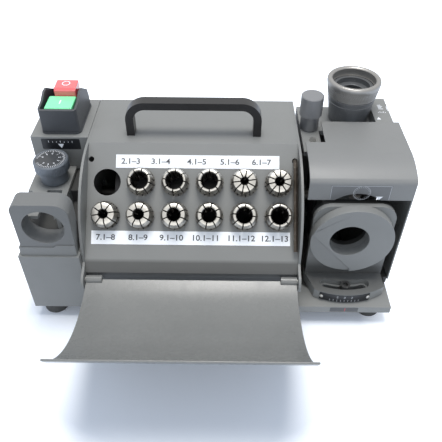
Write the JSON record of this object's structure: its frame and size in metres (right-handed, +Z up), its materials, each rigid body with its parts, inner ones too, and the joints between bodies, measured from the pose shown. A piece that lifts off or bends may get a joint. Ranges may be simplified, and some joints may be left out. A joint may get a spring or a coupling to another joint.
{
  "type": "drill bit sharpener",
  "caption": "Bench drill grinder with a sloped collet rack under a hinged tray, a swivelling point port, a web-thinning port, a two-button switch and a drill chuck.",
  "frame": {"origin": "on the table, under the middle of the machine's box with the tray open", "axes": "+Z up, +Y to the machine's back, +X to the operator's right"},
  "size_m": [0.2836, 0.2376, 0.1505],
  "materials": {
    "body_paint": "fine textured powder coat",
    "dark_paint": "satin",
    "base_steel": "satin",
    "bright_steel": "ground and polished",
    "dark_steel": "black oxide",
    "knurled_steel": "satin, knurled",
    "black_handle": "gloss",
    "black_plastic": "satin",
    "switch_plastic": "satin",
    "green_button": "gloss",
    "red_button": "gloss",
    "rubber": "matte",
    "label_white": "satin film",
    "wheel_grit": "bonded grit on an alloy hub",
    "motor_alloy": "cast",
    "winding": "laminated core with varnished copper"
  },
  "bodies": {
    "base": {"base_plate": "base_steel", "right_base": "body_paint", "rubber_feet": "rubber", "foot_screws": "bright_steel", "mid_cover": "body_paint", "cheek_left": "body_paint", "cheek_right": "body_paint", "tray_hinge_pins": "bright_steel", "carry_handle": "black_handle", "handle_screws": "bright_steel", "size_labels": "label_white", "left_lower_box": "body_paint", "web_port_plate": "body_paint", "web_port_block": "body_paint", "web_saddle": "body_paint", "left_upper_box": "body_paint", "switch_frame": "switch_plastic", "motor_housing": "dark_paint", "motor_end_caps": "motor_alloy", "motor_cradle": "base_steel", "motor_stator": "winding", "shaft_bearings": "bright_steel", "run_capacitor": "motor_alloy", "table_fasteners": "dark_steel", "right_hood": "body_paint", "chuck_station": "body_paint", "index_block": "body_paint", "rear_panel": "base_steel", "power_inlet": "black_plastic", "panel_screws": "bright_steel"},
    "tray": {"front_tray": "body_paint"},
    "hex_key": {"hex_key": "dark_steel"},
    "web_dial": {"web_dial": "knurled_steel", "dial_spindle": "bright_steel"},
    "web_stop": {"web_stop_pin": "dark_steel"},
    "start_button": {"start_button": "green_button"},
    "stop_button": {"stop_button": "red_button"},
    "rotor": {"motor_rotor": "bright_steel", "main_shaft": "bright_steel", "motor_fan": "black_plastic", "point_wheel": "wheel_grit", "web_wheel": "wheel_grit", "wheel_clamps": "bright_steel"},
    "swivel_table": {"angle_table": "body_paint", "port_plate": "body_paint", "port_disc": "body_paint"},
    "feed_knob": {"feed_knob": "knurled_steel"},
    "chuck": {"chuck_body": "knurled_steel"},
    "chuck_ring": {"chuck_ring": "knurled_steel"},
    "collet_upper_1": {"collet_upper_1": "bright_steel"},
    "collet_upper_2": {"collet_upper_2": "bright_steel"},
    "collet_upper_3": {"collet_upper_3": "bright_steel"},
    "collet_upper_4": {"collet_upper_4": "bright_steel"},
    "collet_upper_5": {"collet_upper_5": "bright_steel"},
    "collet_lower_1": {"collet_lower_1": "bright_steel"},
    "collet_lower_2": {"collet_lower_2": "bright_steel"},
    "collet_lower_3": {"collet_lower_3": "bright_steel"},
    "collet_lower_4": {"collet_lower_4": "bright_steel"},
    "collet_lower_5": {"collet_lower_5": "bright_steel"},
    "collet_lower_6": {"collet_lower_6": "bright_steel"}
  },
  "joints": [
    {"name": "tray_hinge", "type": "hinge", "parent": "base", "child": "tray", "pos_m": [-0.01725, -0.02203, 0.0482], "axis": [1, 0, 0], "range_deg": [-111.56, 0]},
    {"name": "hex_key_pull", "type": "slide", "parent": "base", "child": "hex_key", "axis": [0, -0.6717, 0.7408], "range_m": [0, 0.03]},
    {"name": "web_dial_turn", "type": "hinge", "parent": "base", "child": "web_dial", "pos_m": [-0.12375, 0.04063, 0.1], "axis": [0, 0, 1], "range_deg": [0, 300]},
    {"name": "web_stop_feed", "type": "slide", "parent": "base", "child": "web_stop", "axis": [0, 0, -1], "range_m": [0, 0.003]},
    {"name": "start_press", "type": "slide", "parent": "base", "child": "start_button", "axis": [0, 0, -1], "range_m": [0, 0.003], "stiffness_N_per_m": 300, "springref_m": -0.002},
    {"name": "stop_press", "type": "slide", "parent": "base", "child": "stop_button", "axis": [0, 0, -1], "range_m": [0, 0.003], "stiffness_N_per_m": 300, "springref_m": -0.002},
    {"name": "rotor_spin", "type": "hinge", "parent": "base", "child": "rotor", "pos_m": [-0.01725, 0.06903, 0.056], "axis": [1, 0, 0], "continuous": true},
    {"name": "table_swivel", "type": "hinge", "parent": "base", "child": "swivel_table", "pos_m": [0.10195, 0.03763, 0.022], "axis": [0, 0, 1], "range_deg": [-11, 11]},
    {"name": "feed_knob_turn", "type": "hinge", "parent": "base", "child": "feed_knob", "pos_m": [0.07315, 0.08203, 0.12], "axis": [0, 0, 1], "range_deg": [-180, 180]},
    {"name": "chuck_lift", "type": "slide", "parent": "base", "child": "chuck", "axis": [0, 0, 1], "range_m": [0, 0.06]},
    {"name": "chuck_ring_turn", "type": "hinge", "parent": "chuck", "child": "chuck_ring", "pos_m": [0.10655, 0.09803, 0.14], "axis": [0, 0, 1], "range_deg": [0, 90]},
    {"name": "collet_upper_1_pull", "type": "slide", "parent": "base", "child": "collet_upper_1", "axis": [0, -0.6717, 0.7408], "range_m": [0, 0.04]},
    {"name": "collet_upper_2_pull", "type": "slide", "parent": "base", "child": "collet_upper_2", "axis": [0, -0.6717, 0.7408], "range_m": [0, 0.04]},
    {"name": "collet_upper_3_pull", "type": "slide", "parent": "base", "child": "collet_upper_3", "axis": [0, -0.6717, 0.7408], "range_m": [0, 0.04]},
    {"name": "collet_upper_4_pull", "type": "slide", "parent": "base", "child": "collet_upper_4", "axis": [0, -0.6717, 0.7408], "range_m": [0, 0.04]},
    {"name": "collet_upper_5_pull", "type": "slide", "parent": "base", "child": "collet_upper_5", "axis": [0, -0.6717, 0.7408], "range_m": [0, 0.04]},
    {"name": "collet_lower_1_pull", "type": "slide", "parent": "base", "child": "collet_lower_1", "axis": [0, -0.6717, 0.7408], "range_m": [0, 0.04]},
    {"name": "collet_lower_2_pull", "type": "slide", "parent": "base", "child": "collet_lower_2", "axis": [0, -0.6717, 0.7408], "range_m": [0, 0.04]},
    {"name": "collet_lower_3_pull", "type": "slide", "parent": "base", "child": "collet_lower_3", "axis": [0, -0.6717, 0.7408], "range_m": [0, 0.04]},
    {"name": "collet_lower_4_pull", "type": "slide", "parent": "base", "child": "collet_lower_4", "axis": [0, -0.6717, 0.7408], "range_m": [0, 0.04]},
    {"name": "collet_lower_5_pull", "type": "slide", "parent": "base", "child": "collet_lower_5", "axis": [0, -0.6717, 0.7408], "range_m": [0, 0.04]},
    {"name": "collet_lower_6_pull", "type": "slide", "parent": "base", "child": "collet_lower_6", "axis": [0, -0.6717, 0.7408], "range_m": [0, 0.04]}
  ],
  "couplings": [
    {"joint": "web_stop_feed", "follows": "web_dial_turn", "m_per_rad": 0.00057296}
  ]
}
